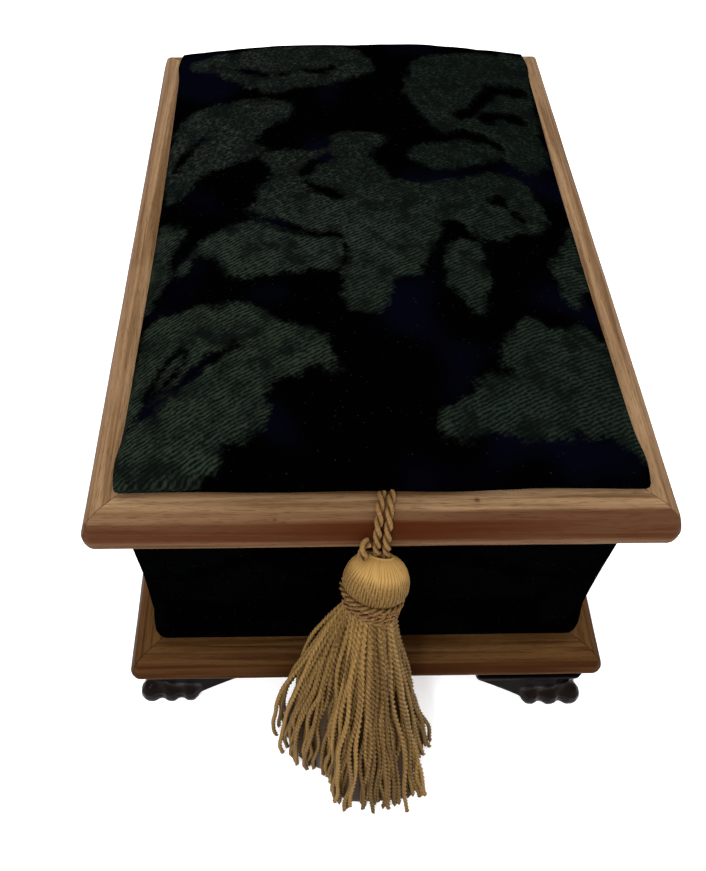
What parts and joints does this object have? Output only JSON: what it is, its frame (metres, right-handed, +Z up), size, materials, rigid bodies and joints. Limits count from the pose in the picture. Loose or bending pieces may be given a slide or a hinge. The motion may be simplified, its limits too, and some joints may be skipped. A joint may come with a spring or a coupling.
{
  "type": "jewelry box",
  "caption": "Cloth-covered wooden jewelry box with a padded lift-off lid in a mitred frame, a moulded base on lion-paw feet and a hanging tassel.",
  "frame": {"origin": "on the table, under the middle of the box, measured without the tassel", "axes": "+Z up; -Y towards the front end, where the tassel hangs; +X to the right as seen from the front"},
  "size_m": [0.164, 0.2769, 0.1362],
  "materials": {
    "lid_wood": "satin varnished oak, brown",
    "base_wood": "satin varnished oak, darker brown",
    "bare_wood": "bare, unvarnished",
    "damask": "near-black damask with a muted grey-green scroll of leaves and flowers",
    "bronze": "dark brown bronze, polished on the toes",
    "gold_cord": "twisted old-gold cord",
    "gold_thread": "silky old-gold thread"
  },
  "bodies": {
    "root": {"base_rail_front": "base_wood", "base_rail_back": "base_wood", "base_rail_left": "base_wood", "base_rail_right": "base_wood", "body_wall_front": "bare_wood", "body_wall_back": "bare_wood", "body_wall_left": "bare_wood", "body_wall_right": "bare_wood", "body_floor": "bare_wood", "body_cloth": "damask", "lid_rail_front": "lid_wood", "lid_rail_back": "lid_wood", "lid_rail_left": "lid_wood", "lid_rail_right": "lid_wood", "lid_board": "bare_wood", "lid_pad": "damask", "foot_front_right": "bronze", "foot_front_left": "bronze", "foot_back_right": "bronze", "foot_back_left": "bronze", "tassel_cord_left": "gold_cord", "tassel_cord_right": "gold_cord", "tassel_knot": "gold_cord", "tassel_head": "gold_thread", "tassel_binding": "gold_cord", "tassel_skirt": "gold_thread"}
  },
  "joints": []
}
